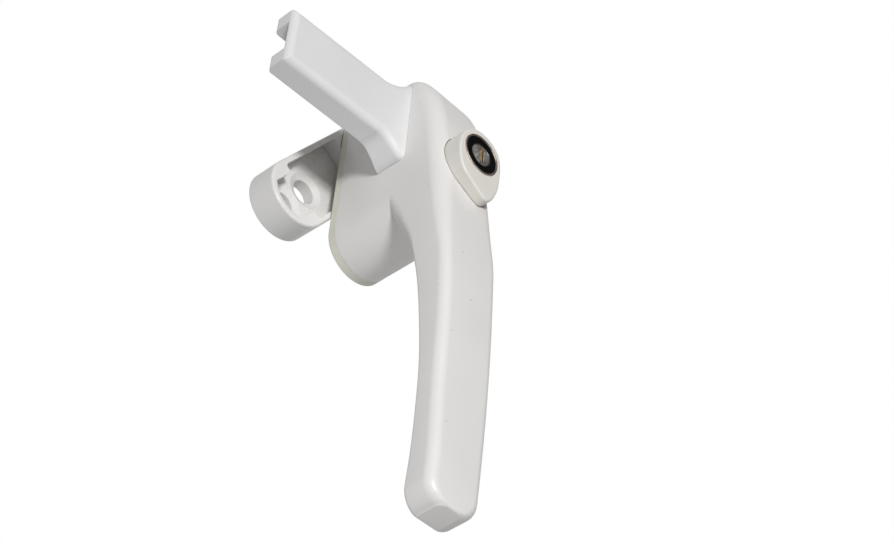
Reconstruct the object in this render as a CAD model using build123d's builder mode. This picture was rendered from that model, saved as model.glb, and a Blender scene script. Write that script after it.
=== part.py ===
from build123d import *
import os
from math import cos, radians, sin, sqrt

os.makedirs("parts", exist_ok=True)

# Turned position of the lever and the working planes
REST_TURN = 34.4
SPINDLE_Z = 18.6
SIN_TURN = sin(radians(REST_TURN))
COS_TURN = cos(radians(REST_TURN))
BASE_FACE = Plane(origin=(0, 0, SPINDLE_Z), x_dir=(1, 0, 0), z_dir=(0, -1, 0))
LEVER_FACE = Plane(
    origin=(0, 0, SPINDLE_Z),
    x_dir=(COS_TURN, 0, SIN_TURN),
    z_dir=(0, -1, 0),
)
LEVER_SIDE = Plane(
    origin=(0, 0, SPINDLE_Z),
    x_dir=(SIN_TURN, 0, -COS_TURN),
    z_dir=(-COS_TURN, 0, -SIN_TURN),
)
LEVER_DOWN = Axis((0, 0, SPINDLE_Z), (SIN_TURN, 0, -COS_TURN))
LEVER_LEFT = Axis((0, 0, SPINDLE_Z), (-COS_TURN, 0, -SIN_TURN))
NOSE_SIDE = Plane(
    origin=(0, 0, SPINDLE_Z),
    x_dir=(-COS_TURN, 0, -SIN_TURN),
    z_dir=(-SIN_TURN, 0, COS_TURN),
)

# Base casting
BASE_WIDTH = 20.0
BASE_DEPTH = 9.0
END_SPACING = 37.2
WALL = 1.65
INNER_R = BASE_WIDTH / 2 - WALL
FLOOR = 4.4
PAD_TOP = -35.9
PAD_STEP = 2.55
CHANNEL_TOP = -9.6
CHANNEL_CORNER_R = 1.0
BACK_RIM_R = 0.7
FIXING_Z = (-28.2, -39.4)
FIXING_R = 3.6
FIXING_HEAD_R = 5.55
FIXING_SEAT_ANGLE = 128
RUNNING_GAP = 0.2
TURN_CLEAR = 0.05

# Spindle and what keeps it in the base
SPINDLE_R = 4.0
SPINDLE_BACK = 0.9
SPINDLE_FRONT = 31.0
BACK_BORE_R = 6.6
BACK_BORE_DEPTH = 3.6
GROOVE_BACK = 1.5
GROOVE_R = 3.3
SPINDLE_FRONT_CHAMFER = 0.5
SPINDLE_BACK_CHAMFER = 0.3
SPINDLE_END_GAP = 0.3
RING_THICK = 0.8
RING_R = 5.6
RING_MOUTH = 4.2
RING_MOUTH_LENGTH = 2 * RING_R - 2.0
SPRING_WASHER_R = 6.2
SPRING_WASHER_THICK = 0.45
SPRING_WASHER_GAP = 0.2

# Click ball under the plate
BALL_R = 1.5
BALL_OUT = 6.9
BALL_CLEAR = 0.05
BALL_FLOOR = 0.4
BALL_HOLE_DEPTH = BASE_DEPTH - BACK_BORE_DEPTH - BALL_FLOOR
BALL_TOP_GAP = 0.05
CLICK_WIRE_R = 0.2
CLICK_COIL_R = 1.15
CLICK_TURNS = 3
SPRING_END_GAP = 0.02
CLICK_NEST = 0.35
DIMPLE_SINK = 0.7

# Plate between base and lever
PLATE_BACK = BASE_DEPTH + RUNNING_GAP
PLATE_THICK = 2.5
PLATE_FRONT = PLATE_BACK + PLATE_THICK
PEG_R = 1.45
PEG_CLEAR = 0.05
PEG_LENGTH = 4.0
PEG_END_GAP = 0.3
PLATE_RIM_R = 0.3
PEGS = ((-5.8, 4.6), (5.8, 4.6), (0.0, -45.1))

# Lever casting
BOSS_WIDTH = 20.0
BOSS_TOP = 36.5
BOSS_SHOULDER = 30.2
SHOULDER_START = -5.0
SHOULDER_END = 34.0
SHOULDER_DROP = 2.2
SHOULDER_STEP = 2.0
GRIP_END = 140.8
GRIP_END_WIDTH = 18.6
TAPER_START = 50.0
GRIP_SPARE = 6.0
GRIP_CORNER_R = 8.2
FRONT_EDGE_R = 4.2
BACK_EDGE_R = 3.6

# Push button and lock
LOCK_DOWN = 29.1
TRAVEL = 4.0
SLIDE_CLEAR = 0.15
BUTTON_FACE = 54.0
BUTTON_BACK = 45.4
BUTTON_WALL = 1.1
BUTTON_TOP_THICK = 1.3
BUTTON_EDGE_R = 0.6
BUTTON_CENTRE_DOWN = 31.0
POCKET_GAP = 0.3
POCKET_FLOOR = BUTTON_BACK - TRAVEL - POCKET_GAP
BARREL_R = 5.9
BARREL_CLEAR = 0.05
BARREL_BACK = 27.0
CAM_SPACE_R = 4.6
CAM_SPACE_FRONT = 31.4
BOLT_TOP = BARREL_BACK
BOLT_SPIGOT_TOP = 29.0
BOLT_HALF_WIDTH = 5.4
BOLT_HEAD_START = -24.9
BOLT_HEAD_BACK = 21.5
BOLT_FOOT_START = -36.6
BOLT_FOOT_END = -42.2
BOLT_TIP = 9.9
CHAMBER_TOP = 27.4
CHAMBER_CLEAR = 0.2
CHAMBER_CORNER_R = 0.5
BOLT_CORNER_R = 0.4
BOLT_CHAMFER = 0.3
PLUG_R = 3.35
PLUG_CLEAR = 0.05
PLUG_FACE = 53.9
PLUG_TAIL_R = 1.8
KEYWAY_WIDTH = 1.3
KEYWAY_HEIGHT = 4.6
KEYWAY_DEPTH = 17.0
TAIL_FLAT_WIDTH = 4.0
TAIL_FLAT = 0.8
WAFER_THICK = 0.5
WAFER_WIDTH = 2.9
WAFER_LENGTH = 5.8
WAFER_RAIL = 1.0
WAFER_SPOTS = (49.0, 46.2, 43.4, 40.6)
RETURN_SPOT = (2.1, -38.3)
RETURN_R = 1.7
RETURN_WIRE_R = 0.25
RETURN_TURNS = 7
RETURN_HOLE_R = 2.2
RETURN_HOLE_DEPTH = 6.0
RETURN_END_GAP = 0.05

RIM_R = 6.05
DISC_R = 5.5
RIM_PROUD = 0.35
RIM_EDGE_R = 0.12
DISC_PROUD = 0.15
CAM_BACK = 29.6
CAM_THICK = 1.4
CAM_R = 2.8
CAM_REACH = 4.3
CAM_ARM_WIDTH = 3.0
CAM_KEY_WIDTH = 2.4
SHUTTER_SINK = 0.9
SHUTTER_THICK = 0.3

# Cored space behind the boss
CORE_X = 2.5
CORE_Y = -14.4
CORE_WIDTH = 10.5
CORE_HEIGHT = 15.0
CORE_FRONT = 27.0
CORE_CORNER_R = 1.5

# Nose arm
NOSE_ROOT = -BOSS_WIDTH / 2
NOSE_TIP = -52.3
NOSE_UPPER = -4.3
NOSE_WIDTH = 19.0
NOSE_MIDDLE = NOSE_UPPER - NOSE_WIDTH / 2
NOSE_BLANK = 40.0
NOSE_BACK = 28.2
NOSE_FRONT = 36.1
NOSE_TIP_BACK = 28.1
NOSE_TIP_FRONT = 35.5
NOSE_TIP_R = 1.3
NOSE_EDGE_R = 2.0
NOSE_WEB = 1.9
HEEL_LENGTH = 10.0
HEEL_BEND = 4.0
HEEL_RISE = 0.8
HEEL_DROP = 2.0
NOSE_SLOT = 10.0
SLOT_SPARE = 1.0
SLOT_DROP = 4.0
SLOT_END = -20.5
TENON_LENGTH = 6.0
TENON_WIDTH = 12.0
TENON_BACK = 28.8
TENON_FRONT = 34.2
TENON_CLEAR = 0.05
TENON_END_GAP = 0.3
TENON_MOUTH = 2.0
NOSE_PIN_R = 1.5
NOSE_PIN_WALL = 0.6
NOSE_PIN_GAP = 0.3
NOSE_PIN_X = NOSE_ROOT + 3.0
NOSE_PIN_BACK = 12.6
NOSE_PIN_FRONT = 37.0

# Flares of the nose arm's root in the lever's plane, right and up
LOWER_FLARE = (
    (NOSE_ROOT, -26.3),
    (NOSE_ROOT - 2.6, -25.6),
    (NOSE_ROOT - 5.8, -23.4),
    (NOSE_ROOT - 9.5, -22.7),
)
UPPER_FLARE = (
    (NOSE_ROOT - 9.0, -3.6),
    (NOSE_ROOT - 5.6, -2.3),
    (NOSE_ROOT, 2.4),
)

# Outline of the push button in the lever's plane, right and up
BUTTON_MIDDLE = Vector(0.0, -BUTTON_CENTRE_DOWN)
BUTTON_OUTLINE = (
    (0.6, -20.8),
    (-4.2, -22.4),
    (-7.0, -26.8),
    (-7.4, -32.6),
    (-5.7, -37.5),
    (-1.2, -40.8),
    (3.6, -42.8),
    (6.3, -39.2),
    (7.7, -31.5),
    (6.4, -23.8),
)


def button_outline(margin):
    points = []
    for spot in BUTTON_OUTLINE:
        arm = Vector(*spot) - BUTTON_MIDDLE
        points.append(BUTTON_MIDDLE + arm * (1 + margin / arm.length))
    return points


# Front and back curves of the lever in its side plane, down and out
FRONT_CURVE = (
    (-10.0, 31.8),
    (-4.5, 37.2),
    (2.0, 41.9),
    (9.0, 44.9),
    (24.0, 47.9),
    (44.0, 51.0),
    (64.0, 53.6),
    (88.0, 54.8),
    (116.0, 54.9),
    (128.0, 54.5),
    (GRIP_END, 53.6),
)
BACK_CURVE = (
    (38.0, 28.6),
    (47.6, 33.8),
    (57.8, 38.8),
    (68.0, 41.6),
    (87.3, 45.1),
    (105.0, 46.4),
    (124.0, 46.1),
    (GRIP_END, 44.8),
)


with BuildPart() as base_casting:
    with BuildSketch(BASE_FACE):
        with Locations((0, -END_SPACING / 2)):
            SlotCenterToCenter(END_SPACING, BASE_WIDTH, rotation=90)
    extrude(amount=BASE_DEPTH)
    fillet(base_casting.faces().sort_by(Axis.Y)[0].edges(), BACK_RIM_R)
    # Open channel, narrower between the two pads
    with BuildSketch(BASE_FACE.offset(BASE_DEPTH)):
        with BuildLine():
            narrow = INNER_R - PAD_STEP
            drop = sqrt(INNER_R**2 - narrow**2)
            Polyline(
                (-narrow, -END_SPACING - drop),
                (-narrow, PAD_TOP),
                (-INNER_R, PAD_TOP),
                (-INNER_R, CHANNEL_TOP),
                (INNER_R, CHANNEL_TOP),
                (INNER_R, PAD_TOP),
                (narrow, PAD_TOP),
                (narrow, -END_SPACING - drop),
            )
            ThreePointArc(
                (narrow, -END_SPACING - drop),
                (0, -END_SPACING - INNER_R),
                (-narrow, -END_SPACING - drop),
            )
        channel = make_face()
        fillet(channel.vertices(), CHANNEL_CORNER_R)
    extrude(amount=-(BASE_DEPTH - FLOOR), mode=Mode.SUBTRACT)
    # Fixing holes with shallow seats
    for height in FIXING_Z:
        with Locations(BASE_FACE.offset(FLOOR) * Location((0, height, 0))):
            CounterSinkHole(FIXING_R, FIXING_HEAD_R, depth=FLOOR, counter_sink_angle=FIXING_SEAT_ANGLE)
    # Bearing for the spindle with a bore at the back
    with BuildSketch(BASE_FACE):
        Circle(SPINDLE_R + TURN_CLEAR)
    extrude(amount=BASE_DEPTH, mode=Mode.SUBTRACT)
    with BuildSketch(BASE_FACE):
        Circle(BACK_BORE_R)
    extrude(amount=BACK_BORE_DEPTH, mode=Mode.SUBTRACT)
    # Blind hole of the click ball
    with BuildSketch(BASE_FACE.offset(BASE_DEPTH)):
        with Locations((0, BALL_OUT)):
            Circle(BALL_R + BALL_CLEAR)
    extrude(amount=-BALL_HOLE_DEPTH, mode=Mode.SUBTRACT)

with BuildPart() as click_ball:
    with Locations(BASE_FACE * Location((0, BALL_OUT, PLATE_BACK - BALL_TOP_GAP - BALL_R))):
        Sphere(BALL_R)

with BuildPart() as click_spring:
    spring_low = BASE_DEPTH - BALL_HOLE_DEPTH + CLICK_WIRE_R + SPRING_END_GAP
    spring_high = PLATE_BACK - BALL_TOP_GAP - 2 * BALL_R - CLICK_WIRE_R + CLICK_NEST
    with BuildLine():
        coil = Helix(
            pitch=(spring_high - spring_low) / CLICK_TURNS,
            height=spring_high - spring_low,
            radius=CLICK_COIL_R,
            center=BASE_FACE.from_local_coords((0, BALL_OUT, spring_low)),
            direction=BASE_FACE.z_dir,
        )
    with BuildSketch(Plane(origin=coil @ 0, z_dir=coil % 0)):
        Circle(CLICK_WIRE_R)
    sweep(path=coil)

with BuildPart() as spindle:
    with BuildSketch(BASE_FACE.offset(SPINDLE_BACK)):
        Circle(SPINDLE_R)
    extrude(amount=SPINDLE_FRONT - SPINDLE_BACK)
    chamfer(spindle.edges().group_by(Axis.Y)[0], SPINDLE_FRONT_CHAMFER)
    chamfer(spindle.edges().group_by(Axis.Y)[-1], SPINDLE_BACK_CHAMFER)
    with BuildSketch(BASE_FACE.offset(GROOVE_BACK)):
        Circle(SPINDLE_R)
        Circle(GROOVE_R, mode=Mode.SUBTRACT)
    extrude(amount=RING_THICK, mode=Mode.SUBTRACT)

with BuildPart() as retaining_ring:
    with BuildSketch(BASE_FACE.offset(GROOVE_BACK)):
        Circle(RING_R)
        Circle(GROOVE_R, mode=Mode.SUBTRACT)
        with Locations((0, -RING_R)):
            Rectangle(RING_MOUTH, RING_MOUTH_LENGTH, mode=Mode.SUBTRACT)
    extrude(amount=RING_THICK)

with BuildPart() as spring_washer:
    cone_low = GROOVE_BACK + RING_THICK + TURN_CLEAR
    with BuildSketch(Plane.XY.offset(SPINDLE_Z)):
        with BuildLine():
            Polyline(
                (SPINDLE_R + SPRING_WASHER_GAP, -cone_low),
                (SPINDLE_R + SPRING_WASHER_GAP, -cone_low - SPRING_WASHER_THICK),
                (SPRING_WASHER_R, -BACK_BORE_DEPTH),
                (SPRING_WASHER_R, -BACK_BORE_DEPTH + SPRING_WASHER_THICK),
                close=True,
            )
        make_face()
    revolve(axis=Axis((0, 0, SPINDLE_Z), (0, 1, 0)))

with BuildPart() as bearing_plate:
    with BuildSketch(LEVER_FACE.offset(PLATE_BACK)):
        with Locations((0, -END_SPACING / 2)):
            SlotCenterToCenter(END_SPACING, BOSS_WIDTH, rotation=90)
    extrude(amount=PLATE_THICK)
    fillet(bearing_plate.faces().sort_by(Axis.Y)[-1].edges(), PLATE_RIM_R)
    with BuildSketch(LEVER_FACE.offset(PLATE_FRONT)):
        with Locations(*PEGS):
            Circle(PEG_R)
    extrude(amount=PEG_LENGTH)
    with BuildSketch(LEVER_FACE.offset(PLATE_BACK)):
        Circle(SPINDLE_R + TURN_CLEAR)
        with Locations((0, (BOLT_FOOT_START + BOLT_FOOT_END) / 2)):
            RectangleRounded(
                2 * (BOLT_HALF_WIDTH + CHAMBER_CLEAR),
                BOLT_FOOT_START - BOLT_FOOT_END + 2 * CHAMBER_CLEAR,
                CHAMBER_CORNER_R,
            )
    extrude(amount=PLATE_THICK, mode=Mode.SUBTRACT)
    # Dimples that the ball drops into when the window is shut or open
    dimple_height = PLATE_BACK - BALL_R + DIMPLE_SINK
    for spot in ((0, BALL_OUT), (BALL_OUT, 0)):
        with Locations(LEVER_FACE * Location((spot[0], spot[1], dimple_height))):
            Sphere(BALL_R, mode=Mode.SUBTRACT)

with BuildPart() as boss_blank:
    with BuildSketch(LEVER_FACE.offset(PLATE_FRONT)):
        with Locations((0, -END_SPACING / 2)):
            SlotCenterToCenter(END_SPACING, BOSS_WIDTH, rotation=90)
    extrude(amount=BOSS_TOP - PLATE_FRONT)
    # Kept low where the grip casting lies over it
    shoulder_edge = -BOSS_WIDTH / 2 - SHOULDER_STEP
    with BuildSketch(LEVER_SIDE.offset(-BOSS_WIDTH)):
        with BuildLine():
            Polyline(
                (shoulder_edge, BOSS_SHOULDER - SHOULDER_DROP),
                (SHOULDER_START, BOSS_SHOULDER),
                (SHOULDER_END, BOSS_SHOULDER),
                (SHOULDER_END + SHOULDER_STEP, BOSS_TOP + SHOULDER_STEP),
                (shoulder_edge, BOSS_TOP + SHOULDER_STEP),
                close=True,
            )
        make_face()
    extrude(amount=2 * BOSS_WIDTH, dir=LEVER_SIDE.z_dir, mode=Mode.SUBTRACT)

with BuildPart() as grip_blank:
    with BuildSketch(LEVER_SIDE.offset(-BOSS_WIDTH)):
        with BuildLine():
            Spline(*FRONT_CURVE)
            Line(FRONT_CURVE[-1], BACK_CURVE[-1])
            Spline(*reversed(BACK_CURVE))
            Polyline(BACK_CURVE[0], (FRONT_CURVE[0][0], BACK_CURVE[0][1]), FRONT_CURVE[0])
        make_face()
    extrude(amount=2 * BOSS_WIDTH, dir=LEVER_SIDE.z_dir)
    with BuildSketch(LEVER_FACE):
        with BuildLine():
            Line((-BOSS_WIDTH / 2, 0), (-BOSS_WIDTH / 2, -TAPER_START))
            TangentArc(
                (-BOSS_WIDTH / 2, -TAPER_START),
                (-GRIP_END_WIDTH / 2, -GRIP_END),
                tangent=(0, -1),
            )
            Line((-GRIP_END_WIDTH / 2, -GRIP_END), (GRIP_END_WIDTH / 2, -GRIP_END))
            TangentArc(
                (BOSS_WIDTH / 2, -TAPER_START),
                (GRIP_END_WIDTH / 2, -GRIP_END),
                tangent=(0, -1),
            )
            Line((BOSS_WIDTH / 2, -TAPER_START), (BOSS_WIDTH / 2, 0))
            ThreePointArc((BOSS_WIDTH / 2, 0), (0, BOSS_WIDTH / 2), (-BOSS_WIDTH / 2, 0))
        make_face()
    extrude(amount=BUTTON_FACE + GRIP_SPARE, mode=Mode.INTERSECT)
    end_corners = grip_blank.edges().filter_by(Axis.Y).sort_by(LEVER_DOWN)[-2:]
    fillet(end_corners, GRIP_CORNER_R)

with BuildPart() as lever_casting:
    add(grip_blank.part)
    front_face = lever_casting.faces().filter_by(lambda f: f.normal_at().Y < -0.9)
    fillet(front_face.sort_by(SortBy.AREA)[-1].edges(), FRONT_EDGE_R)
    back_face = lever_casting.faces().filter_by(lambda f: f.normal_at().Y > 0.8)
    back_edges = back_face.sort_by(SortBy.AREA)[-1].edges().sort_by(LEVER_DOWN)[1:]
    fillet(back_edges, BACK_EDGE_R)
    add(boss_blank.part)
    # Bores for spindle, pegs and nose pin
    with BuildSketch(LEVER_FACE.offset(PLATE_FRONT)):
        Circle(SPINDLE_R)
    extrude(amount=SPINDLE_FRONT + SPINDLE_END_GAP - PLATE_FRONT, mode=Mode.SUBTRACT)
    with BuildSketch(LEVER_FACE.offset(PLATE_FRONT)):
        with Locations(*PEGS):
            Circle(PEG_R + PEG_CLEAR)
    extrude(amount=PEG_LENGTH + PEG_END_GAP, mode=Mode.SUBTRACT)
    with BuildSketch(LEVER_FACE.offset(PLATE_FRONT)):
        with Locations((NOSE_PIN_X, NOSE_MIDDLE)):
            Circle(NOSE_PIN_R)
    extrude(amount=NOSE_PIN_FRONT + NOSE_PIN_GAP - PLATE_FRONT, mode=Mode.SUBTRACT)
    # Pocket in the side for the tenon of the nose arm
    with BuildSketch(LEVER_FACE.offset(TENON_BACK - TENON_CLEAR)):
        with Locations((NOSE_ROOT - TENON_MOUTH, NOSE_MIDDLE)):
            Rectangle(
                TENON_LENGTH + TENON_MOUTH + TENON_END_GAP,
                TENON_WIDTH + 2 * TENON_CLEAR,
                align=(Align.MIN, Align.CENTER),
            )
    extrude(amount=TENON_FRONT - TENON_BACK + 2 * TENON_CLEAR, mode=Mode.SUBTRACT)
    # Cored space at the back and the chamber of the bolt
    with BuildSketch(LEVER_FACE.offset(PLATE_FRONT)):
        with Locations((CORE_X, CORE_Y)):
            RectangleRounded(CORE_WIDTH, CORE_HEIGHT, CORE_CORNER_R)
    extrude(amount=CORE_FRONT - PLATE_FRONT, mode=Mode.SUBTRACT)
    with BuildSketch(LEVER_FACE.offset(PLATE_FRONT)):
        with Locations((0, (BOLT_HEAD_START + BOLT_FOOT_END) / 2)):
            RectangleRounded(
                2 * (BOLT_HALF_WIDTH + CHAMBER_CLEAR),
                BOLT_HEAD_START - BOLT_FOOT_END + 2 * CHAMBER_CLEAR,
                CHAMBER_CORNER_R,
            )
    extrude(amount=CHAMBER_TOP - PLATE_FRONT, mode=Mode.SUBTRACT)
    # Bore for the barrel, pocket for the button, hole for its spring
    with BuildSketch(LEVER_FACE.offset(PLATE_FRONT)):
        with Locations((0, -LOCK_DOWN)):
            Circle(BARREL_R + BARREL_CLEAR)
    extrude(amount=BUTTON_FACE, mode=Mode.SUBTRACT)
    with BuildSketch(LEVER_FACE.offset(POCKET_FLOOR)):
        with BuildLine():
            Spline(*button_outline(SLIDE_CLEAR), periodic=True)
        make_face()
    extrude(amount=BUTTON_FACE - POCKET_FLOOR, mode=Mode.SUBTRACT)
    with BuildSketch(LEVER_FACE.offset(POCKET_FLOOR)):
        with Locations(RETURN_SPOT):
            Circle(RETURN_HOLE_R)
    extrude(amount=-RETURN_HOLE_DEPTH, mode=Mode.SUBTRACT)

with BuildPart() as nose_arm:
    # Side shape, thinner towards the tip
    with BuildSketch(NOSE_SIDE.offset(-NOSE_BLANK)):
        with BuildLine():
            Polyline(
                (-NOSE_ROOT, NOSE_FRONT),
                (-NOSE_TIP, NOSE_TIP_FRONT),
                (-NOSE_TIP, NOSE_TIP_BACK),
                (-NOSE_ROOT + HEEL_LENGTH, NOSE_BACK),
                (-NOSE_ROOT + HEEL_BEND, NOSE_BACK - HEEL_RISE),
                (-NOSE_ROOT, NOSE_BACK - HEEL_DROP),
                close=True,
            )
        make_face()
    extrude(amount=2 * NOSE_BLANK, dir=NOSE_SIDE.z_dir)
    # Seen from the front: wider at the root
    with BuildSketch(LEVER_FACE):
        with BuildLine():
            Line(UPPER_FLARE[-1], LOWER_FLARE[0])
            Spline(*LOWER_FLARE)
            Polyline(
                LOWER_FLARE[-1],
                (NOSE_TIP, NOSE_UPPER - NOSE_WIDTH),
                (NOSE_TIP, NOSE_UPPER),
                UPPER_FLARE[0],
            )
            Spline(*UPPER_FLARE)
        make_face()
    extrude(amount=BUTTON_FACE, mode=Mode.INTERSECT)
    across = nose_arm.edges().filter_by(lambda e: abs(e.tangent_at(0.5).dot(NOSE_SIDE.z_dir)) > 0.95)
    fillet(across.sort_by(LEVER_LEFT)[-2:].sort_by(Axis.Y)[-1], NOSE_TIP_R)
    nose_front = nose_arm.faces().sort_by(Axis.Y)[0].edges().sort_by(LEVER_LEFT)
    fillet(nose_front[1:], NOSE_EDGE_R)
    # Slot for the foot of the wedge
    with BuildSketch(LEVER_FACE.offset(NOSE_BACK - SLOT_DROP)):
        with Locations((NOSE_TIP - SLOT_SPARE, NOSE_MIDDLE)):
            Rectangle(
                SLOT_END - NOSE_TIP + SLOT_SPARE,
                NOSE_SLOT,
                align=(Align.MIN, Align.CENTER),
            )
    extrude(amount=NOSE_TIP_FRONT - NOSE_WEB - NOSE_BACK + SLOT_DROP, mode=Mode.SUBTRACT)
    # Tenon in the boss
    with BuildSketch(LEVER_FACE.offset(TENON_BACK)):
        with Locations((NOSE_ROOT, NOSE_MIDDLE)):
            Rectangle(TENON_LENGTH, TENON_WIDTH, align=(Align.MIN, Align.CENTER))
    extrude(amount=TENON_FRONT - TENON_BACK)
    with BuildSketch(LEVER_FACE.offset(TENON_BACK)):
        with Locations((NOSE_PIN_X, NOSE_MIDDLE)):
            Circle(NOSE_PIN_R)
    extrude(amount=TENON_FRONT - TENON_BACK, mode=Mode.SUBTRACT)

with BuildPart() as nose_pin:
    with BuildSketch(LEVER_FACE.offset(NOSE_PIN_BACK)):
        with Locations((NOSE_PIN_X, NOSE_MIDDLE)):
            Circle(NOSE_PIN_R)
            Circle(NOSE_PIN_R - NOSE_PIN_WALL, mode=Mode.SUBTRACT)
    extrude(amount=NOSE_PIN_FRONT - NOSE_PIN_BACK)

with BuildPart() as lock_button:
    with BuildSketch(LEVER_FACE.offset(BUTTON_BACK)):
        with BuildLine():
            Spline(*button_outline(0), periodic=True)
        make_face()
    extrude(amount=BUTTON_FACE - BUTTON_BACK)
    fillet(lock_button.faces().sort_by(Axis.Y)[0].edges(), BUTTON_EDGE_R)
    with BuildSketch(LEVER_FACE.offset(BUTTON_BACK)):
        with BuildLine():
            Spline(*button_outline(-BUTTON_WALL), periodic=True)
        make_face()
    extrude(amount=BUTTON_FACE - BUTTON_TOP_THICK - BUTTON_BACK, mode=Mode.SUBTRACT)
    with BuildSketch(LEVER_FACE.offset(BUTTON_BACK)):
        with Locations((0, -LOCK_DOWN)):
            Circle(BARREL_R)
    extrude(amount=BUTTON_FACE, mode=Mode.SUBTRACT)

with BuildPart() as lock_barrel:
    with BuildSketch(LEVER_FACE.offset(BARREL_BACK)):
        with Locations((0, -LOCK_DOWN)):
            Circle(BARREL_R)
    extrude(amount=BUTTON_FACE - BARREL_BACK)
    with BuildSketch(LEVER_FACE.offset(BUTTON_FACE)):
        with Locations((0, -LOCK_DOWN)):
            Circle(PLUG_R + PLUG_CLEAR)
    extrude(amount=-(BUTTON_FACE - BARREL_BACK), mode=Mode.SUBTRACT)
    with BuildSketch(LEVER_FACE.offset(BARREL_BACK)):
        with Locations((0, -LOCK_DOWN)):
            Circle(CAM_SPACE_R)
    extrude(amount=CAM_SPACE_FRONT - BARREL_BACK, mode=Mode.SUBTRACT)

with BuildPart() as barrel_ring:
    with BuildSketch(LEVER_FACE.offset(BUTTON_FACE)):
        with Locations((0, -LOCK_DOWN)):
            Circle(RIM_R)
            Circle(DISC_R, mode=Mode.SUBTRACT)
    extrude(amount=RIM_PROUD)
    fillet(barrel_ring.faces().sort_by(Axis.Y)[0].edges(), RIM_EDGE_R)

with BuildPart() as barrel_disc:
    with BuildSketch(LEVER_FACE.offset(BUTTON_FACE)):
        with Locations((0, -LOCK_DOWN)):
            Circle(DISC_R)
            Circle(PLUG_R + PLUG_CLEAR, mode=Mode.SUBTRACT)
    extrude(amount=DISC_PROUD)

with BuildPart() as lock_plug:
    with BuildSketch(LEVER_FACE.offset(CAM_SPACE_FRONT)):
        with Locations((0, -LOCK_DOWN)):
            Circle(PLUG_R)
    extrude(amount=PLUG_FACE - CAM_SPACE_FRONT)
    with BuildSketch(LEVER_FACE.offset(CAM_BACK)):
        with Locations((0, -LOCK_DOWN)):
            Circle(PLUG_TAIL_R)
            with Locations((0, PLUG_TAIL_R)):
                Rectangle(TAIL_FLAT_WIDTH, TAIL_FLAT, mode=Mode.SUBTRACT)
    extrude(amount=CAM_SPACE_FRONT - CAM_BACK)
    with BuildSketch(LEVER_FACE.offset(PLUG_FACE)):
        with Locations((0, -LOCK_DOWN)):
            Rectangle(KEYWAY_WIDTH, KEYWAY_HEIGHT)
    extrude(amount=-KEYWAY_DEPTH, mode=Mode.SUBTRACT)
    for spot in WAFER_SPOTS:
        with BuildSketch(LEVER_FACE.offset(spot)):
            with Locations((0, -LOCK_DOWN)):
                Rectangle(WAFER_WIDTH, 2 * PLUG_R)
        extrude(amount=WAFER_THICK, mode=Mode.SUBTRACT)

wafers = []
for spot in WAFER_SPOTS:
    with BuildPart() as wafer:
        with BuildSketch(LEVER_FACE.offset(spot)):
            with Locations((0, -LOCK_DOWN)):
                Rectangle(WAFER_WIDTH, WAFER_LENGTH)
                Rectangle(KEYWAY_WIDTH, WAFER_LENGTH - 2 * WAFER_RAIL, mode=Mode.SUBTRACT)
        extrude(amount=WAFER_THICK)
    wafers.append(wafer)

with BuildPart() as key_shutter:
    with BuildSketch(LEVER_FACE.offset(PLUG_FACE - SHUTTER_SINK)):
        with Locations((0, -LOCK_DOWN)):
            Rectangle(KEYWAY_WIDTH, KEYWAY_HEIGHT)
    extrude(amount=SHUTTER_THICK)

with BuildPart() as lock_cam:
    with BuildSketch(LEVER_FACE.offset(CAM_BACK)):
        with Locations((0, -LOCK_DOWN)):
            Circle(CAM_R)
            with Locations((CAM_REACH / 2, 0)):
                Rectangle(CAM_REACH, CAM_ARM_WIDTH)
            Circle(PLUG_TAIL_R, mode=Mode.SUBTRACT)
            with Locations((0, PLUG_TAIL_R)):
                Rectangle(CAM_KEY_WIDTH, TAIL_FLAT)
    extrude(amount=CAM_THICK)

with BuildPart() as lock_bolt:
    with BuildSketch(LEVER_FACE.offset(BOLT_HEAD_BACK)):
        with Locations((0, (BOLT_HEAD_START + BOLT_FOOT_END) / 2)):
            RectangleRounded(2 * BOLT_HALF_WIDTH, BOLT_HEAD_START - BOLT_FOOT_END, BOLT_CORNER_R)
    extrude(amount=BOLT_TOP - BOLT_HEAD_BACK)
    with BuildSketch(LEVER_FACE.offset(BOLT_TIP)):
        with Locations((0, (BOLT_FOOT_START + BOLT_FOOT_END) / 2)):
            RectangleRounded(2 * BOLT_HALF_WIDTH, BOLT_FOOT_START - BOLT_FOOT_END, BOLT_CORNER_R)
    extrude(amount=BOLT_HEAD_BACK - BOLT_TIP)
    chamfer(lock_bolt.faces().sort_by(Axis.Y)[-1].edges(), BOLT_CHAMFER)
    with BuildSketch(LEVER_FACE.offset(BOLT_TOP)):
        with Locations((0, -LOCK_DOWN)):
            Circle(CAM_SPACE_R)
    extrude(amount=BOLT_SPIGOT_TOP - BOLT_TOP)

with BuildPart() as return_spring:
    coil_low = POCKET_FLOOR - RETURN_HOLE_DEPTH + RETURN_WIRE_R + RETURN_END_GAP
    coil_high = BUTTON_FACE - BUTTON_TOP_THICK - RETURN_WIRE_R - RETURN_END_GAP
    with BuildLine():
        return_coil = Helix(
            pitch=(coil_high - coil_low) / RETURN_TURNS,
            height=coil_high - coil_low,
            radius=RETURN_R,
            center=LEVER_FACE.from_local_coords((RETURN_SPOT[0], RETURN_SPOT[1], coil_low)),
            direction=LEVER_FACE.z_dir,
        )
    with BuildSketch(Plane(origin=return_coil @ 0, z_dir=return_coil % 0)):
        Circle(RETURN_WIRE_R)
    sweep(path=return_coil)

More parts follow.
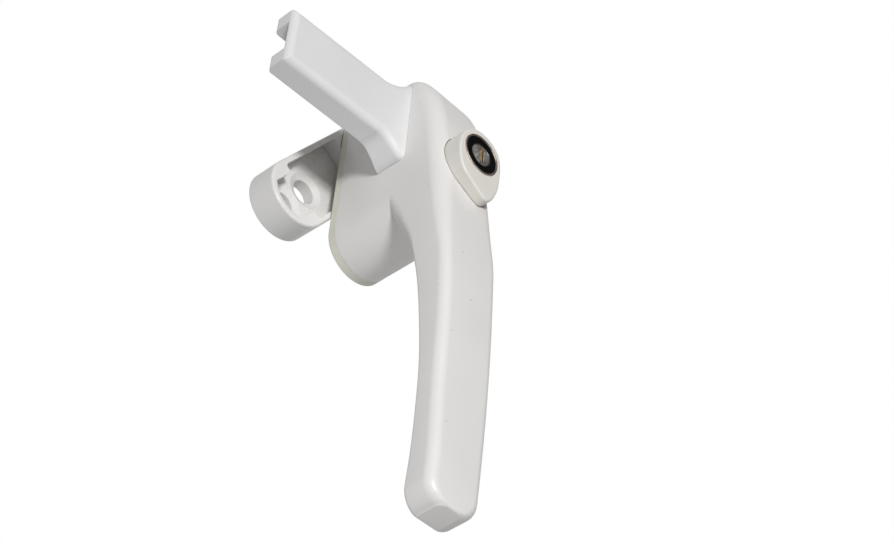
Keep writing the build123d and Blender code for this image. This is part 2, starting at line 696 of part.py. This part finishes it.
pieces = [
    (base_casting, "base_casting"),
    (click_ball, "click_ball"),
    (click_spring, "click_spring"),
    (spring_washer, "spring_washer"),
    (spindle, "spindle"),
    (retaining_ring, "retaining_ring"),
    (bearing_plate, "bearing_plate"),
    (lever_casting, "lever_casting"),
    (nose_arm, "nose_arm"),
    (nose_pin, "nose_pin"),
    (lock_button, "lock_button"),
    (lock_barrel, "lock_barrel"),
    (barrel_ring, "barrel_ring"),
    (barrel_disc, "barrel_disc"),
    (lock_plug, "lock_plug"),
    (key_shutter, "key_shutter"),
    (lock_cam, "lock_cam"),
    (lock_bolt, "lock_bolt"),
    (return_spring, "return_spring"),
]
pieces += [(wafer, "wafer_" + str(number)) for number, wafer in enumerate(wafers, 1)]
for piece, label in pieces:
    piece.part.label = label
    export_step(piece.part, "parts/" + label + ".step")
    print(label, piece.part.is_valid, len(piece.part.solids()), round(piece.part.volume, 1))
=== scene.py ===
import bpy
import bmesh
from math import cos, pi, radians, sin, sqrt
from mathutils import Euler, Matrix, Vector
from mathutils.bvhtree import BVHTree


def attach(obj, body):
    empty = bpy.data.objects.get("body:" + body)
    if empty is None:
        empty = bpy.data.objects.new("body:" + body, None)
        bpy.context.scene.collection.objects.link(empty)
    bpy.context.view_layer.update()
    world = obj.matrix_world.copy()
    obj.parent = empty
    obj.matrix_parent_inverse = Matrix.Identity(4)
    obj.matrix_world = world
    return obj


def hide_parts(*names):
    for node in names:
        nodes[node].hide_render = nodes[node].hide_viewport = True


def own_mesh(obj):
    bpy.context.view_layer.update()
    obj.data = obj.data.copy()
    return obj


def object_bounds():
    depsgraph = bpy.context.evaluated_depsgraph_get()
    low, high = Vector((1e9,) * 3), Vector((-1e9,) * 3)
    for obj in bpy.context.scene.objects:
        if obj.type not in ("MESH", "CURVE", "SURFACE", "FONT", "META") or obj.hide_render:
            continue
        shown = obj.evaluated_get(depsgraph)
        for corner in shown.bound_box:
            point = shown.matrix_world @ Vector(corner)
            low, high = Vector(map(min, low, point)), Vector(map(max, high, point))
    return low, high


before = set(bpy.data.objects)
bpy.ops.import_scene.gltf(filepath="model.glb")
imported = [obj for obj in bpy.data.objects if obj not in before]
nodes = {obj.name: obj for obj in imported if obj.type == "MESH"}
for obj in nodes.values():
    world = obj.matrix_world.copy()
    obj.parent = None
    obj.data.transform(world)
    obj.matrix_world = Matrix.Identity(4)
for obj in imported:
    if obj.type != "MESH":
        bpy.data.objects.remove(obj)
cad_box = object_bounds()

# Picture and camera, from the fit to the photograph
PICTURE_WIDTH = 894
PICTURE_HEIGHT = 544
SENSOR = 36.0
LENS = 77.307
CAMERA_PLACE = Vector((0.01515, -0.30033, -0.43357))
CAMERA_TURN = Euler((radians(159.5006), radians(-26.0415), radians(-54.3818)), "XYZ")
CAMERA_NEAR = 0.01
CAMERA_FAR = 20.0

# The lever's own directions, right and up seen from the room
REST_TURN = radians(34.4)
SPINDLE = Vector((0.0, 0.0, 0.0186))
LEVER_RIGHT = Vector((cos(REST_TURN), 0.0, sin(REST_TURN)))
LEVER_UP = Vector((-sin(REST_TURN), 0.0, cos(REST_TURN)))
OUT = Vector((0.0, -1.0, 0.0))
WAFERS = 4
MM = 0.001

# Light, in metres and watts, and the room's levels
SOFT_LIGHT_FROM = Vector((-0.30, -0.86, -0.41))
SOFT_LIGHT_FAR = 1.2
SOFT_LIGHT_SIZE = 0.26
SOFT_LIGHT_POWER = 11.4
STRIP_FROM = Vector((-0.62, -0.75, 0.25))
STRIP_FAR = 1.0
STRIP_SIZE = 0.22
STRIP_POWER = 0.35
FILL_FAR = 1.0
FILL_SIZE = 0.5
FILL_POWER = 1.1
PALE_ROOM = 0.22
PALE_TABLE = 0.40
SHEEN_ROOM = 0.05
SHEEN_TABLE = 0.80
ROOM_TINT = (0.985, 0.995, 1.0, 1.0)
WHITE = (1.0, 1.0, 1.0, 1.0)
FLOOR_HEIGHT = -1.2
FLOOR_SIZE = 8.0

# Painted shade in the seams between the pieces
SEAM_REACH = 0.0006
SEAM_SHADE = 0.25

# Welding and cutting of the solids' meshes, in metres
WELD = 2e-7
CUT_SLACK = 1e-7

# Shading of the drawn meshes
SHARP_EDGE = radians(32.0)
CAP_SHARP_EDGE = radians(40.0)
KEYS_PER_METRE = 1e6
SAME_FACING = 0.9

# Cap of the plug, in mm: down the lever from the spindle, and out from the base's back
LOCK_DOWN = 29.1
CAP_FACE = 53.92
CAP_RISE = 0.42
CAP_RADIUS = 3.15
CAP_THICKNESS = 0.15
KEY_SLOT_WIDTH = 1.6
KEY_SLOT_HEIGHT = 4.6
CAP_RINGS = 26
CAP_SPOKES = 120

# Grip below the boss, in mm, with its rounded corners and the edge round its flat end
GRIP_CUT = 49.5
GRIP_END = 140.05
GRIP_CORNER = 5.84
GRIP_END_EDGE = 0.66
END_DRAWN_MOST = 1.2

# Radii of the long edges in mm, at the boss, along the grip and at the least
BOSS_FRONT_EDGE = 4.2
BOSS_BACK_EDGE = 3.6
GRIP_FRONT_EDGE = 2.7
GRIP_BACK_EDGE = 0.9
LEAST_FRONT_EDGE = 0.5
LEAST_BACK_EDGE = 0.4
EDGES_BLEND = 18.0

# Lean of the end's face, as mm down the lever for each mm out
GRIP_END_LEAN = -0.05
LEAN_ABOUT = 50.0
LEAN_FROM = GRIP_CUT + 25.0
LEAN_TO = GRIP_END - 28.0

# Outline of the grip in mm, fitted to the photograph: how far down, then front, back and half width
GRIP_SIZES = (
    (49.5, 51.80, 34.82, 10.00),
    (54.0, 52.43, 37.60, 10.00),
    (58.0, 52.94, 39.85, 9.97),
    (62.0, 53.39, 41.55, 9.78),
    (67.0, 53.85, 43.00, 9.42),
    (76.0, 54.41, 44.68, 9.17),
    (88.0, 54.85, 46.25, 9.02),
    (100.0, 54.95, 47.41, 8.97),
    (112.0, 54.95, 47.55, 8.83),
    (124.0, 54.93, 46.97, 8.46),
    (132.0, 54.75, 46.25, 8.30),
    (140.1, 54.29, 45.58, 8.33),
)

# Rings of the grip's mesh: how far apart in mm, and how many
RING_SPACING = 2.6
FIRST_RING = 0.8
CORNER_RINGS = 12
END_RINGS = 7
ARC_STEPS = 10

# Tiny grains on the paint, by their pixels in the photograph, and their sizes in mm
GRAIN_PIXELS = (
    (437, 155), (461, 210), (392, 264), (388, 228), (438, 284), (463, 252),
    (424, 371), (452, 330), (471, 300), (418, 450), (447, 421), (429, 186),
)
GRAIN_RADIUS = 0.09
GRAIN_RADIUS_STEP = 0.05
GRAIN_FLATTENING = 0.6


def lever_point(right, up, out):
    """A place in the row frame from the lever's own directions, in mm."""
    return SPINDLE + (LEVER_RIGHT * right + LEVER_UP * up + OUT * out) * MM


# Parts of the materials
def new_material(name):
    """An empty material, with its shader joined to the output."""
    material = bpy.data.materials.new(name)
    material.use_nodes = True
    tree = material.node_tree
    tree.nodes.clear()
    shader = tree.nodes.new("ShaderNodeBsdfPrincipled")
    output = tree.nodes.new("ShaderNodeOutputMaterial")
    tree.links.new(shader.outputs["BSDF"], output.inputs["Surface"])
    return material, tree, shader


def add_node(tree, kind, **values):
    """A new node. Each value goes to the input of that name, or else to the node itself."""
    node = tree.nodes.new(kind)
    for name, value in values.items():
        if name in node.inputs:
            node.inputs[name].default_value = value
        else:
            setattr(node, name, value)
    return node


def place_on_part(tree, stretch=(1, 1, 1)):
    coordinates = add_node(tree, "ShaderNodeTexCoord")
    mapping = add_node(tree, "ShaderNodeMapping", Scale=stretch)
    tree.links.new(coordinates.outputs["Object"], mapping.inputs["Vector"])
    return mapping.outputs["Vector"]


def noise(tree, place, scale, detail=3.0):
    node = add_node(tree, "ShaderNodeTexNoise", Scale=scale, Detail=detail, Roughness=0.5)
    tree.links.new(place, node.inputs["Vector"])
    return node.outputs["Fac"]


def spread(tree, value, low=0.0, high=1.0, from_low=0.3, from_high=0.7):
    """The value, moved from one range to another and held inside it."""
    node = add_node(tree, "ShaderNodeMapRange")
    node.inputs["From Min"].default_value = from_low
    node.inputs["From Max"].default_value = from_high
    node.inputs["To Min"].default_value = low
    node.inputs["To Max"].default_value = high
    tree.links.new(value, node.inputs["Value"])
    return node.outputs["Result"]


def blend_colours(tree, factor, first, second):
    """A blend of two colours. The first may be a plain colour or another node's output."""
    node = add_node(tree, "ShaderNodeMix", data_type="RGBA")
    colours = [socket for socket in node.inputs if socket.type == "RGBA"]
    if isinstance(first, tuple):
        colours[0].default_value = (*first, 1.0)
    else:
        tree.links.new(first, colours[0])
    colours[1].default_value = (*second, 1.0)
    tree.links.new(factor, node.inputs[0])
    return [socket for socket in node.outputs if socket.type == "RGBA"][0]


def scaled_colour(colour, share):
    return tuple(channel * share for channel in colour)


def soften_edges(tree, shader, height, strength, depth, edge_radius):
    """Edges rounded in the shading alone, with a fine relief on the surface."""
    bevel = add_node(tree, "ShaderNodeBevel", samples=6, Radius=edge_radius)
    bump = add_node(tree, "ShaderNodeBump", Strength=strength, Distance=depth)
    tree.links.new(height, bump.inputs["Height"])
    tree.links.new(bevel.outputs["Normal"], bump.inputs["Normal"])
    tree.links.new(bump.outputs["Normal"], shader.inputs["Normal"])


def paint_shade_in_seams(tree, colour):
    """Painted shade in the narrow seams where another piece or a step stands close."""
    near = add_node(tree, "ShaderNodeAmbientOcclusion", samples=8, Distance=SEAM_REACH)
    open_share = spread(tree, near.outputs["AO"], low=SEAM_SHADE, from_low=0.25, from_high=0.62)
    scaled = add_node(tree, "ShaderNodeVectorMath", operation="SCALE")
    tree.links.new(colour, scaled.inputs[0])
    tree.links.new(open_share, scaled.inputs["Scale"])
    return scaled.outputs["Vector"]


def rare_specks(tree, place):
    """Small round specks, only where a slow noise is high."""
    cells = add_node(tree, "ShaderNodeTexVoronoi", Scale=210.0, Randomness=1.0)
    tree.links.new(place, cells.inputs["Vector"])
    specks = spread(tree, cells.outputs["Distance"], low=1.0, high=0.0, from_low=0.028, from_high=0.05)
    rare = spread(tree, noise(tree, place, scale=70.0, detail=1.0), from_low=0.60, from_high=0.64)
    both = add_node(tree, "ShaderNodeMath", operation="MULTIPLY")
    tree.links.new(specks, both.inputs[0])
    tree.links.new(rare, both.inputs[1])
    return both.outputs["Value"]


# Kinds of material
def paint(name, colour, roughness=0.36, edge_radius=0.00035):
    """Satin powder paint: fine orange peel, faint clouds, a few specks and painted shade in the seams."""
    material, tree, shader = new_material(name)
    place = place_on_part(tree)
    clouds = spread(tree, noise(tree, place, scale=55.0))
    clouded = blend_colours(tree, clouds, colour, scaled_colour(colour, 0.965))
    speckled = blend_colours(tree, rare_specks(tree, place), clouded, scaled_colour(colour, 0.62))
    # The base colour is darkened by painted shade in the seams
    tree.links.new(paint_shade_in_seams(tree, speckled), shader.inputs["Base Color"])
    rough_noise = noise(tree, place, scale=160.0, detail=4.0)
    rough = spread(tree, rough_noise, low=roughness - 0.05, high=roughness + 0.07)
    tree.links.new(rough, shader.inputs["Roughness"])
    shader.inputs["Specular IOR Level"].default_value = 0.42
    peel = noise(tree, place, scale=1400.0, detail=2.0)
    soften_edges(tree, shader, peel, strength=0.10, depth=0.00006, edge_radius=edge_radius)
    return material


def plastic(name, colour, roughness, edge_radius=0.0002, shine=0.45):
    """Moulded plastic: even colour with a slightly uneven sheen and a fine grain."""
    material, tree, shader = new_material(name)
    place = place_on_part(tree)
    clouds = spread(tree, noise(tree, place, scale=90.0))
    clouded = blend_colours(tree, clouds, colour, scaled_colour(colour, 0.95))
    tree.links.new(clouded, shader.inputs["Base Color"])
    rough_noise = noise(tree, place, scale=260.0, detail=4.0)
    rough = spread(tree, rough_noise, low=roughness - 0.04, high=roughness + 0.08)
    tree.links.new(rough, shader.inputs["Roughness"])
    shader.inputs["Specular IOR Level"].default_value = shine
    grain = noise(tree, place, scale=2600.0, detail=2.0)
    soften_edges(tree, shader, grain, strength=0.12, depth=0.00004, edge_radius=edge_radius)
    return material


def metal(name, colour, roughness, tarnish, stretch=(1, 1, 1)):
    """Bare or plated metal: fine marks, which stretch draws out, and a little tarnish."""
    material, tree, shader = new_material(name)
    marks_place = place_on_part(tree, stretch)
    place = place_on_part(tree)
    stain_noise = noise(tree, place, scale=420.0, detail=4.0)
    stain = spread(tree, stain_noise, from_low=0.45, from_high=0.75)
    stained = blend_colours(tree, stain, colour, scaled_colour(colour, tarnish))
    tree.links.new(stained, shader.inputs["Base Color"])
    shader.inputs["Metallic"].default_value = 1.0
    marks = noise(tree, marks_place, scale=1800.0, detail=4.0)
    rough = spread(tree, marks, low=roughness * 0.75, high=roughness * 1.35)
    tree.links.new(rough, shader.inputs["Roughness"])
    soften_edges(tree, shader, marks, strength=0.10, depth=0.00003, edge_radius=0.00015)
    return material


def polished_plating():
    return metal("chrome", (0.90, 0.87, 0.83), roughness=0.46, tarnish=0.6)


def grain_grey():
    material, tree, shader = new_material("grain_grey")
    tint = spread(tree, noise(tree, place_on_part(tree), scale=900.0))
    greys = blend_colours(tree, tint, (0.40, 0.39, 0.37), (0.28, 0.27, 0.26))
    tree.links.new(greys, shader.inputs["Base Color"])
    shader.inputs["Roughness"].default_value = 0.6
    return material


def floor_pale():
    material, tree, shader = new_material("floor_pale")
    tint = spread(tree, noise(tree, place_on_part(tree), scale=3.0))
    pales = blend_colours(tree, tint, (0.86, 0.86, 0.86), (0.84, 0.84, 0.84))
    tree.links.new(pales, shader.inputs["Base Color"])
    shader.inputs["Roughness"].default_value = 0.9
    return material


def dress_nodes():
    """Puts a material on each CAD node."""
    button_cream = paint("button_cream", (0.765, 0.745, 0.690), roughness=0.33, edge_radius=0.0003)
    black_plastic = plastic(
        "black_plastic", (0.004, 0.004, 0.004), roughness=0.16, edge_radius=0.00008, shine=0.22
    )
    cast_zinc = metal("cast_zinc", (0.48, 0.48, 0.49), roughness=0.42, tarnish=0.75)
    turned_steel = metal(
        "turned_steel", (0.56, 0.56, 0.57), roughness=0.30, tarnish=0.8, stretch=(1, 14, 1)
    )
    spring_steel = metal("spring_steel", (0.42, 0.42, 0.43), roughness=0.28, tarnish=0.7)
    wafer_brass = metal("wafer_brass", (0.62, 0.48, 0.24), roughness=0.30, tarnish=0.75)
    dress = {
        "base_casting": paint("base_white", (0.775, 0.765, 0.750), roughness=0.28),
        "click_ball": turned_steel,
        "click_spring": spring_steel,
        "spring_washer": spring_steel,
        "spindle": turned_steel,
        "retaining_ring": spring_steel,
        "bearing_plate": plastic("plate_nylon", (0.745, 0.730, 0.640), roughness=0.46),
        "lever_casting": paint("lever_white", (0.800, 0.780, 0.762)),
        "nose_arm": paint("nose_white", (0.765, 0.765, 0.772)),
        "nose_pin": spring_steel,
        "lock_button": button_cream,
        "lock_barrel": cast_zinc,
        "barrel_ring": metal("ring_plating", (0.80, 0.66, 0.60), roughness=0.42, tarnish=0.75),
        "barrel_disc": black_plastic,
        "lock_plug": metal("plug_brass", (0.60, 0.56, 0.50), roughness=0.22, tarnish=0.7),
        "key_shutter": metal("shutter_brass", (0.92, 0.72, 0.46), roughness=0.50, tarnish=0.6),
        "lock_cam": turned_steel,
        "lock_bolt": cast_zinc,
        "return_spring": spring_steel,
    }
    for number in range(1, WAFERS + 1):
        dress[f"wafer_{number}"] = wafer_brass
    for name, material in dress.items():
        mesh = nodes[name].data
        mesh.materials.clear()
        mesh.materials.append(material)


# Added pieces
def add_mesh(name, build, material):
    """A new piece with a smooth mesh that the build function fills."""
    mesh = bpy.data.meshes.new(name)
    work = bmesh.new()
    build(work)
    work.to_mesh(mesh)
    work.free()
    for polygon in mesh.polygons:
        polygon.use_smooth = True
    piece = bpy.data.objects.new(name, mesh)
    bpy.context.scene.collection.objects.link(piece)
    mesh.materials.append(material)
    return piece


# Cap of the plug
def cap_grid(work):
    """Rows of points on the dome, from its middle to its rim."""
    grid = []
    for ring in range(CAP_RINGS + 1):
        reach = CAP_RADIUS * ring / CAP_RINGS
        height = CAP_FACE + CAP_RISE * (1 - (reach / CAP_RADIUS) ** 2)
        row = []
        for spoke in range(CAP_SPOKES):
            angle = 2 * pi * spoke / CAP_SPOKES
            spot = lever_point(reach * cos(angle), reach * sin(angle) - LOCK_DOWN, height)
            row.append(work.verts.new(spot))
        grid.append(row)
    return grid


def in_key_slot(ring, spoke):
    """Whether the middle of that face lies in the key's slot."""
    angle = 2 * pi * (spoke + 0.5) / CAP_SPOKES
    reach = CAP_RADIUS * (ring + 0.5) / CAP_RINGS
    across = abs(reach * cos(angle))
    along = abs(reach * sin(angle))
    return across < KEY_SLOT_WIDTH / 2 and along < KEY_SLOT_HEIGHT / 2


def plug_cap():
    """Domed polished face of the plug with the key's slot through it."""
    def build(work):
        grid = cap_grid(work)
        for ring in range(1, CAP_RINGS):
            inner = grid[ring]
            outer = grid[ring + 1]
            for spoke in range(CAP_SPOKES):
                if in_key_slot(ring, spoke):
                    continue
                after = (spoke + 1) % CAP_SPOKES
                work.faces.new((inner[spoke], inner[after], outer[after], outer[spoke]))
        loose = [vert for vert in work.verts if not vert.link_faces]
        bmesh.ops.delete(work, geom=loose, context="VERTS")
        made = bmesh.ops.extrude_face_region(work, geom=work.faces[:], use_keep_orig=True)
        for vert in made["geom"]:
            if isinstance(vert, bmesh.types.BMVert):
                vert.co -= OUT * CAP_THICKNESS * MM
        bmesh.ops.recalc_face_normals(work, faces=work.faces)

    piece = add_mesh("plug_cap", build, polished_plating())
    piece.data.set_sharp_from_angle(angle=CAP_SHARP_EDGE)
    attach(piece, "plug")


# Return spring of the button
def squeezed_spring():
    """The button's return spring, a welded copy of the solid's mesh that rides the lever."""
    solid = nodes["return_spring"]

    def build(work):
        work.from_mesh(solid.data)
        bmesh.ops.remove_doubles(work, verts=work.verts, dist=WELD)

    piece = add_mesh("return_spring_drawn", build, solid.data.materials[0])
    piece.data.set_sharp_from_angle(angle=SHARP_EDGE)
    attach(piece, "lever")
    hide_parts("return_spring")
    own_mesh(piece)


# Grip of the lever
def ease(value, low, high):
    """0 below low, 1 above high and a smooth way between them."""
    share = min(max((value - low) / (high - low), 0.0), 1.0)
    return share * share * (3.0 - 2.0 * share)


def grip_size(down):
    """Front, back and half width there, on smooth curves through the rows of GRIP_SIZES."""
    last = len(GRIP_SIZES) - 1
    row = max(k for k in range(last) if GRIP_SIZES[k][0] <= down)
    span = GRIP_SIZES[row + 1][0] - GRIP_SIZES[row][0]
    share = (down - GRIP_SIZES[row][0]) / span
    rest = 1.0 - share
    sizes = []
    for column in (1, 2, 3):
        slopes = []
        for k in (row, row + 1):
            before = GRIP_SIZES[max(k - 1, 0)]
            after = GRIP_SIZES[min(k + 1, last)]
            slopes.append((after[column] - before[column]) / (after[0] - before[0]) * span)
        start = GRIP_SIZES[row][column]
        end = GRIP_SIZES[row + 1][column]
        size = rest * rest * (1.0 + 2.0 * share) * start + share * share * (3.0 - 2.0 * share) * end
        sizes.append(size + share * rest * (rest * slopes[0] - share * slopes[1]))
    return sizes


def grip_section(down, front, back, half, front_edge, back_edge, lean):
    """Oblong across the lever, with one radius on its two front corners and one on its back ones."""
    corners = (
        (half - front_edge, front - front_edge, front_edge, 0.0),
        (-half + front_edge, front - front_edge, front_edge, 90.0),
        (-half + back_edge, back + back_edge, back_edge, 180.0),
        (half - back_edge, back + back_edge, back_edge, 270.0),
    )
    spots = []
    for right, out, radius, start in corners:
        for step in range(ARC_STEPS + 1):
            angle = radians(start + 90.0 * step / ARC_STEPS)
            spots.append((right + radius * cos(angle), out + radius * sin(angle)))
    return [lever_point(right, -down - lean * (out - LEAN_ABOUT), out) for right, out in spots]


def corner_drawn(down):
    """How far the side draws in there, on the end's round corner seen from the front."""
    past = down - (GRIP_END - GRIP_CORNER)
    return GRIP_CORNER - sqrt(max(GRIP_CORNER ** 2 - past ** 2, 0.0))


def grip_stations():
    """Places down the grip, each with how far its corner and the end's edge draw in there."""
    corner_from = GRIP_END - GRIP_CORNER
    flat_to = GRIP_END - GRIP_END_EDGE
    stations = []
    down = GRIP_CUT + FIRST_RING
    while down < corner_from - FIRST_RING:
        stations.append((down, 0.0, 0.0))
        down += RING_SPACING
    for step in range(CORNER_RINGS + 1):
        down = corner_from + (flat_to - corner_from) * sin(pi / 2 * step / CORNER_RINGS)
        stations.append((down, corner_drawn(down), 0.0))
    for step in range(1, END_RINGS + 1):
        turn = pi / 2 * step / END_RINGS
        down = flat_to + GRIP_END_EDGE * sin(turn)
        drawn = min(corner_drawn(down), corner_drawn(flat_to) + END_DRAWN_MOST)
        stations.append((down, drawn, GRIP_END_EDGE * (1.0 - cos(turn))))
    return stations


def grip_rings():
    rings = []
    for down, drawn, inset in grip_stations():
        front, back, half = grip_size(down)
        share = ease(down, GRIP_CUT, GRIP_CUT + EDGES_BLEND)
        front_edge = BOSS_FRONT_EDGE + (GRIP_FRONT_EDGE - BOSS_FRONT_EDGE) * share
        back_edge = BOSS_BACK_EDGE + (GRIP_BACK_EDGE - BOSS_BACK_EDGE) * share
        front_edge = max(front_edge - inset, LEAST_FRONT_EDGE)
        back_edge = max(back_edge - inset, LEAST_BACK_EDGE)
        lean = GRIP_END_LEAN * ease(down, LEAN_FROM, LEAN_TO)
        half -= drawn + inset
        rings.append(grip_section(down, front - inset, back + inset, half, front_edge, back_edge, lean))
    return rings


def place_key(spot):
    """A key that corners of two meshes share where they lie at one place."""
    return tuple(round(value * KEYS_PER_METRE) for value in spot)


def keep_shading(source, made):
    """The solid's own shading above the cut, and the new mesh's below it."""
    shading = {}
    for polygon in source.polygons:
        for loop in polygon.loop_indices:
            spot = source.vertices[source.loops[loop].vertex_index].co
            corner = source.corner_normals[loop].vector.copy()
            shading.setdefault(place_key(spot), []).append((polygon.normal.copy(), corner))
    normals = [corner.vector.copy() for corner in made.corner_normals]
    for polygon in made.polygons:
        for loop in polygon.loop_indices:
            spot = made.vertices[made.loops[loop].vertex_index].co
            found = shading.get(place_key(spot))
            if not found:
                continue
            facing, corner = max(found, key=lambda pair: pair[0].dot(polygon.normal))
            if facing.dot(polygon.normal) > SAME_FACING:
                normals[loop] = corner
    made.normals_split_custom_set(normals)


def join_rings(work, rings):
    """Faces from the cut's rim to the first ring, between the rings and over the end."""
    rim = [edge for edge in work.edges if edge.is_boundary]
    rows = [[work.verts.new(spot) for spot in ring] for ring in rings]
    count = len(rows[0])
    first = [work.edges.new((rows[0][k], rows[0][(k + 1) % count])) for k in range(count)]
    bmesh.ops.bridge_loops(work, edges=rim + first)
    for upper, lower in zip(rows, rows[1:]):
        for k in range(count):
            after = (k + 1) % count
            work.faces.new((upper[k], upper[after], lower[after], lower[k]))
    work.faces.new(rows[-1])


def lever_with_drawn_grip():
    """The lever casting, with its grip drawn to the photograph: flat sides, tight edges, a flat end."""
    source = nodes["lever_casting"].data

    def build(work):
        work.from_mesh(source)
        bmesh.ops.remove_doubles(work, verts=work.verts, dist=WELD)
        everything = work.verts[:] + work.edges[:] + work.faces[:]
        cut_place = lever_point(0, -GRIP_CUT, 0)
        bmesh.ops.bisect_plane(
            work, geom=everything, dist=CUT_SLACK, plane_co=cut_place, plane_no=-LEVER_UP, clear_outer=True
        )
        join_rings(work, grip_rings())
        bmesh.ops.recalc_face_normals(work, faces=work.faces)

    piece = add_mesh("lever_casting_drawn", build, source.materials[0])
    piece.data.set_sharp_from_angle(angle=SHARP_EDGE)
    keep_shading(source, piece.data)
    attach(piece, "lever")
    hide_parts("lever_casting")
    return piece


# Grains in the paint
def surface_of(mesh):
    spots = [vert.co.copy() for vert in mesh.vertices]
    return BVHTree.FromPolygons(spots, [tuple(polygon.vertices) for polygon in mesh.polygons])


def camera_ray(pixel):
    """The direction in which the camera sees that pixel."""
    across = (pixel[0] - PICTURE_WIDTH / 2) / PICTURE_WIDTH * SENSOR / LENS
    down = (pixel[1] - PICTURE_HEIGHT / 2) / PICTURE_WIDTH * SENSOR / LENS
    direction = Vector((across, -down, -1.0))
    direction.rotate(CAMERA_TURN)
    return direction.normalized()


def paint_grains(lever):
    """Tiny grains caught in the lever's paint, each set on the lever's own surface."""
    surface = surface_of(lever.data)

    def build(work):
        for number, pixel in enumerate(GRAIN_PIXELS):
            spot, normal, _, _ = surface.ray_cast(CAMERA_PLACE, camera_ray(pixel))
            if spot is None:
                continue
            size = (GRAIN_RADIUS + GRAIN_RADIUS_STEP * (number % 3)) * MM
            turn = normal.to_track_quat("Z", "Y").to_matrix().to_4x4()
            turn.translation = spot
            made = bmesh.ops.create_icosphere(work, subdivisions=1, radius=size, matrix=turn)
            for vert in made["verts"]:
                height = (vert.co - spot).dot(normal)
                vert.co -= normal * height * GRAIN_FLATTENING

    piece = add_mesh("paint_grains", build, grain_grey())
    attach(piece, "lever")


# Surroundings
def soft_lamp(name, from_direction, distance, size, power):
    """A round lamp that looks at the middle of the part."""
    data = bpy.data.lights.new(name, "AREA")
    data.shape = "DISK"
    data.size = size
    data.energy = power
    lamp = bpy.data.objects.new(name, data)
    direction = from_direction.normalized()
    lamp.location = (cad_box[0] + cad_box[1]) / 2 + direction * distance
    lamp.rotation_mode = "QUATERNION"
    lamp.rotation_quaternion = direction.to_track_quat("Z", "Y")
    bpy.context.scene.collection.objects.link(lamp)


def mix_light(tree, factor, first, second):
    node = add_node(tree, "ShaderNodeMixShader")
    tree.links.new(factor, node.inputs["Fac"])
    tree.links.new(first, node.inputs[1])
    tree.links.new(second, node.inputs[2])
    return node.outputs["Shader"]


def pale_world():
    """White for the camera, and for the light a dim room over the pale table that the handle lies on."""
    world = bpy.data.worlds.new("pale_room")
    bpy.context.scene.world = world
    world.use_nodes = True
    tree = world.node_tree
    tree.nodes.clear()
    coordinates = add_node(tree, "ShaderNodeTexCoord")
    along = add_node(tree, "ShaderNodeVectorMath", operation="DOT_PRODUCT")
    along.inputs[1].default_value = -OUT
    tree.links.new(coordinates.outputs["Generated"], along.inputs[0])
    to_table = along.outputs["Value"]

    level = spread(tree, to_table, low=PALE_ROOM, high=PALE_TABLE, from_low=-0.3, from_high=0.3)
    light = add_node(tree, "ShaderNodeBackground", Color=ROOM_TINT)
    tree.links.new(level, light.inputs["Strength"])
    sheen_level = spread(tree, to_table, low=SHEEN_ROOM, high=SHEEN_TABLE, from_low=-0.35, from_high=0.15)
    sheen = add_node(tree, "ShaderNodeBackground")
    tree.links.new(sheen_level, sheen.inputs["Strength"])
    backdrop = add_node(tree, "ShaderNodeBackground", Color=WHITE)

    rays = add_node(tree, "ShaderNodeLightPath").outputs
    lit = mix_light(tree, rays["Is Glossy Ray"], light.outputs["Background"], sheen.outputs["Background"])
    seen = mix_light(tree, rays["Is Camera Ray"], lit, backdrop.outputs["Background"])
    output = add_node(tree, "ShaderNodeOutputWorld")
    tree.links.new(seen, output.inputs["Surface"])


def pale_floor():
    """A floor far below, which neither lights nor shades the part."""
    def build(work):
        half = FLOOR_SIZE / 2
        spots = ((-half, -half), (half, -half), (half, half), (-half, half))
        work.faces.new([work.verts.new((x, y, FLOOR_HEIGHT)) for x, y in spots])

    floor = add_mesh("floor", build, floor_pale())
    floor.visible_diffuse = False
    floor.visible_glossy = False
    floor.visible_shadow = False


def photo_camera():
    data = bpy.data.cameras.new("photo_camera")
    data.sensor_width = SENSOR
    data.lens = LENS
    data.clip_start = CAMERA_NEAR
    data.clip_end = CAMERA_FAR
    camera = bpy.data.objects.new("photo_camera", data)
    camera.location = CAMERA_PLACE
    camera.rotation_euler = CAMERA_TURN
    bpy.context.scene.collection.objects.link(camera)
    bpy.context.scene.camera = camera


bpy.context.scene.view_settings.view_transform = "Standard"
dress_nodes()
plug_cap()
squeezed_spring()
paint_grains(lever_with_drawn_grip())
soft_lamp("soft_light", SOFT_LIGHT_FROM, SOFT_LIGHT_FAR, SOFT_LIGHT_SIZE, SOFT_LIGHT_POWER)
soft_lamp("strip_light", STRIP_FROM, STRIP_FAR, STRIP_SIZE, STRIP_POWER)
soft_lamp("fill_light", -LEVER_UP, FILL_FAR, FILL_SIZE, FILL_POWER)
pale_world()
pale_floor()
photo_camera()
